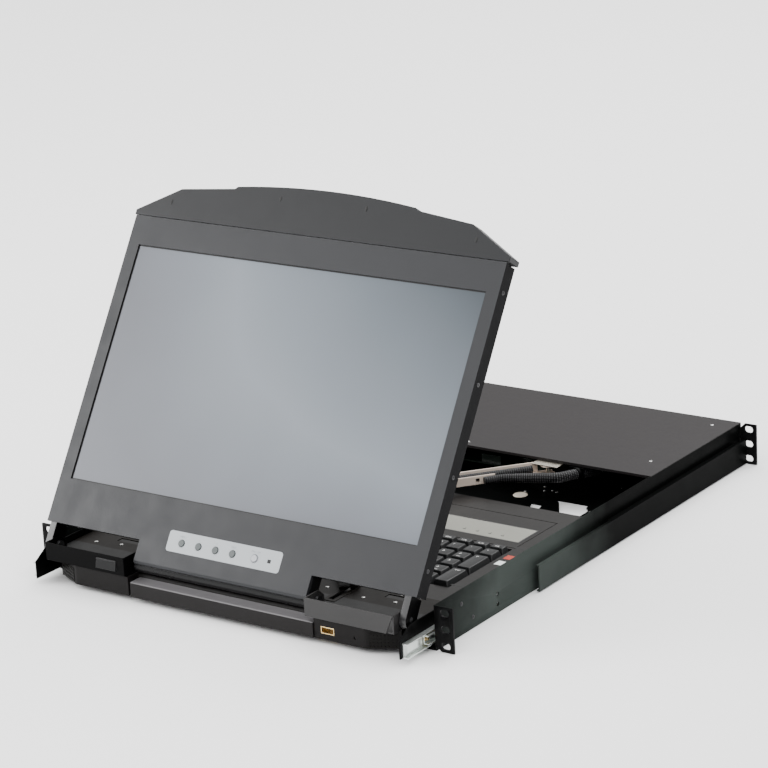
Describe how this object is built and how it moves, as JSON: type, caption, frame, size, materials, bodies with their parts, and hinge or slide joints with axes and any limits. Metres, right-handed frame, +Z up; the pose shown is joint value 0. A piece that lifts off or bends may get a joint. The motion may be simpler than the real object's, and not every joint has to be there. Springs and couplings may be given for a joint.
{
  "type": "rackmount lcd console drawer",
  "caption": "Rack drawer with a tilting flat display on one pair of slides and a keyboard tray with touchpad on another, shown with the display raised.",
  "frame": {"origin": "centre of the four front rack bolts, on the front face of the mounting ears", "axes": "+X across the rack to the right as seen from the front, +Y to the rear of the rack, +Z up"},
  "size_m": [0.4826, 0.621, 0.3615],
  "materials": {
    "black_steel": "satin",
    "grey_steel": "satin",
    "black_plastic": "matt",
    "board_green": "gloss",
    "zinc": "satin",
    "cream_steel": "satin",
    "brass": "satin",
    "charcoal_plastic": "satin",
    "screen": "matt",
    "label_grey": "satin",
    "light_metal": "satin",
    "button_grey": "satin",
    "button_white": "satin",
    "deck_plastic": "satin",
    "strip_grey": "satin",
    "key_plastic": "satin",
    "cable_black": "braided"
  },
  "bodies": {
    "chassis": {"chassis_pan": "black_steel", "rear_cover": "grey_steel", "rear_panel": "black_steel", "rear_connectors": "black_plastic", "main_board": "board_green", "power_supply": "zinc", "chassis_screws": "zinc", "lcd_fixed_rails": "zinc", "keyboard_fixed_rails": "zinc", "keyboard_rail_brackets": "zinc", "cable_arm_mount": "cream_steel"},
    "power_switch": {"power_switch": "black_plastic"},
    "rear_bracket_left": {"rear_bracket_left": "black_steel"},
    "rear_bracket_right": {"rear_bracket_right": "black_steel"},
    "lcd_middle_rails": {"lcd_middle_rails": "zinc"},
    "lcd_ball_cages": {"lcd_ball_cages": "brass"},
    "lcd_carriage": {"lcd_carriage_rails": "zinc", "carriage_plates": "black_steel", "carriage_crossbar": "grey_steel", "hinge_box_left": "black_steel", "hinge_box_right": "black_steel", "cable_arm_guide": "zinc"},
    "release_tab": {"release_tab": "charcoal_plastic"},
    "lcd_panel": {"lcd_bezel": "charcoal_plastic", "lcd_back_cover": "black_steel", "lcd_screen": "screen", "upper_handle": "charcoal_plastic", "control_plate": "label_grey", "hinge_arms": "light_metal", "hinge_pins": "zinc", "lcd_screws": "zinc"},
    "menu_button_1": {"menu_button_1": "button_grey"},
    "menu_button_2": {"menu_button_2": "button_grey"},
    "menu_button_3": {"menu_button_3": "button_grey"},
    "menu_button_4": {"menu_button_4": "button_grey"},
    "display_power_button": {"display_power_button": "button_white"},
    "keyboard_middle_rails": {"keyboard_middle_rails": "zinc"},
    "keyboard_drawer": {"keyboard_drawer_rails": "zinc", "drawer_tray": "black_steel", "keyboard_deck": "deck_plastic", "key_mat": "black_plastic", "port_strip": "strip_grey", "touchpad": "charcoal_plastic", "drawer_front": "deck_plastic", "lower_handle": "deck_plastic", "usb_socket": "brass"},
    "touchpad_button_left": {"touchpad_button_left": "charcoal_plastic"},
    "touchpad_button_right": {"touchpad_button_right": "charcoal_plastic"},
    "reset_button": {"reset_button": "black_plastic"},
    "function_keys": {"function_keys": "key_plastic"},
    "number_keys": {"number_keys": "key_plastic"},
    "upper_letter_keys": {"upper_letter_keys": "key_plastic"},
    "home_keys": {"home_keys": "key_plastic"},
    "lower_letter_keys": {"lower_letter_keys": "key_plastic"},
    "bottom_keys": {"bottom_keys": "key_plastic"},
    "space_bar": {"space_bar": "key_plastic"},
    "cable_arm_rear": {"cable_arm_rear": "cream_steel", "display_cable_rear": "cable_black"},
    "cable_arm_front": {"cable_arm_front": "cream_steel", "display_cable_front": "cable_black"}
  },
  "joints": [
    {"name": "power_switch_rock", "type": "hinge", "parent": "chassis", "child": "power_switch", "pos_m": [0.194, 0.572, -0.0018], "axis": [1, 0, 0], "range_deg": [0, 16]},
    {"name": "rear_bracket_left_slide", "type": "slide", "parent": "chassis", "child": "rear_bracket_left", "axis": [0, 1, 0], "range_m": [0, 0.15]},
    {"name": "rear_bracket_right_slide", "type": "slide", "parent": "chassis", "child": "rear_bracket_right", "axis": [0, 1, 0], "range_m": [0, 0.15]},
    {"name": "lcd_slide", "type": "slide", "parent": "chassis", "child": "lcd_carriage", "axis": [0, 1, 0], "range_m": [0, 0.36]},
    {"name": "lcd_middle_slide", "type": "slide", "parent": "chassis", "child": "lcd_middle_rails", "axis": [0, 1, 0], "range_m": [0, 0.18]},
    {"name": "lcd_cage_slide", "type": "slide", "parent": "chassis", "child": "lcd_ball_cages", "axis": [0, 1, 0], "range_m": [0, 0.27]},
    {"name": "release_tab_press", "type": "hinge", "parent": "lcd_carriage", "child": "release_tab", "pos_m": [0, -0.03805, 0.0164], "axis": [1, 0, 0], "range_deg": [0, 14], "stiffness_Nm_per_rad": 0.02, "springref_deg": -17.19},
    {"name": "lcd_tilt", "type": "hinge", "parent": "lcd_carriage", "child": "lcd_panel", "pos_m": [0, -0.0212, 0.0134], "axis": [1, 0, 0], "range_deg": [0, 122.3]},
    {"name": "menu_button_1_press", "type": "slide", "parent": "lcd_panel", "child": "menu_button_1", "axis": [0, 0.8453, -0.5344], "range_m": [0, 0.0008], "stiffness_N_per_m": 400, "springref_m": -0.0015},
    {"name": "menu_button_2_press", "type": "slide", "parent": "lcd_panel", "child": "menu_button_2", "axis": [0, 0.8453, -0.5344], "range_m": [0, 0.0008], "stiffness_N_per_m": 400, "springref_m": -0.0015},
    {"name": "menu_button_3_press", "type": "slide", "parent": "lcd_panel", "child": "menu_button_3", "axis": [0, 0.8453, -0.5344], "range_m": [0, 0.0008], "stiffness_N_per_m": 400, "springref_m": -0.0015},
    {"name": "menu_button_4_press", "type": "slide", "parent": "lcd_panel", "child": "menu_button_4", "axis": [0, 0.8453, -0.5344], "range_m": [0, 0.0008], "stiffness_N_per_m": 400, "springref_m": -0.0015},
    {"name": "display_power_button_press", "type": "slide", "parent": "lcd_panel", "child": "display_power_button", "axis": [0, 0.8453, -0.5344], "range_m": [0, 0.0008], "stiffness_N_per_m": 400, "springref_m": -0.0015},
    {"name": "keyboard_slide", "type": "slide", "parent": "chassis", "child": "keyboard_drawer", "axis": [0, -1, 0], "range_m": [0, 0.34]},
    {"name": "keyboard_middle_slide", "type": "slide", "parent": "chassis", "child": "keyboard_middle_rails", "axis": [0, -1, 0], "range_m": [0, 0.17]},
    {"name": "touchpad_button_left_press", "type": "slide", "parent": "keyboard_drawer", "child": "touchpad_button_left", "axis": [0, 0, -1], "range_m": [0, 0.0008], "stiffness_N_per_m": 400, "springref_m": -0.0015},
    {"name": "touchpad_button_right_press", "type": "slide", "parent": "keyboard_drawer", "child": "touchpad_button_right", "axis": [0, 0, -1], "range_m": [0, 0.0008], "stiffness_N_per_m": 400, "springref_m": -0.0015},
    {"name": "reset_button_press", "type": "slide", "parent": "keyboard_drawer", "child": "reset_button", "axis": [0, 1, 0], "range_m": [0, 0.0008], "stiffness_N_per_m": 300, "springref_m": -0.001},
    {"name": "function_keys_press", "type": "slide", "parent": "keyboard_drawer", "child": "function_keys", "axis": [0, 0, -1], "range_m": [0, 0.0018], "stiffness_N_per_m": 600, "springref_m": -0.002},
    {"name": "number_keys_press", "type": "slide", "parent": "keyboard_drawer", "child": "number_keys", "axis": [0, 0, -1], "range_m": [0, 0.0018], "stiffness_N_per_m": 600, "springref_m": -0.002},
    {"name": "upper_letter_keys_press", "type": "slide", "parent": "keyboard_drawer", "child": "upper_letter_keys", "axis": [0, 0, -1], "range_m": [0, 0.0018], "stiffness_N_per_m": 600, "springref_m": -0.002},
    {"name": "home_keys_press", "type": "slide", "parent": "keyboard_drawer", "child": "home_keys", "axis": [0, 0, -1], "range_m": [0, 0.0018], "stiffness_N_per_m": 600, "springref_m": -0.002},
    {"name": "lower_letter_keys_press", "type": "slide", "parent": "keyboard_drawer", "child": "lower_letter_keys", "axis": [0, 0, -1], "range_m": [0, 0.0018], "stiffness_N_per_m": 600, "springref_m": -0.002},
    {"name": "bottom_keys_press", "type": "slide", "parent": "keyboard_drawer", "child": "bottom_keys", "axis": [0, 0, -1], "range_m": [0, 0.0018], "stiffness_N_per_m": 600, "springref_m": -0.002},
    {"name": "space_bar_press", "type": "slide", "parent": "keyboard_drawer", "child": "space_bar", "axis": [0, 0, -1], "range_m": [0, 0.0018], "stiffness_N_per_m": 600, "springref_m": -0.002},
    {"name": "cable_arm_rear_pivot", "type": "hinge", "parent": "chassis", "child": "cable_arm_rear", "pos_m": [0.105, 0.381, 0.0115], "axis": [0, 0, 1], "range_deg": [-48.86, 0]},
    {"name": "cable_arm_elbow", "type": "hinge", "parent": "cable_arm_rear", "child": "cable_arm_front", "pos_m": [-0.03912, 0.20925, 0.0115], "axis": [0, 0, 1], "range_deg": [0, 97.72]}
  ],
  "couplings": [
    {"joint": "lcd_middle_slide", "follows": "lcd_slide", "ratio": 0.5},
    {"joint": "lcd_cage_slide", "follows": "lcd_slide", "ratio": 0.75},
    {"joint": "cable_arm_rear_pivot", "follows": "lcd_slide", "rad_per_m": -2.359},
    {"joint": "cable_arm_elbow", "follows": "lcd_slide", "rad_per_m": 4.718},
    {"joint": "keyboard_middle_slide", "follows": "keyboard_slide", "ratio": 0.5}
  ]
}
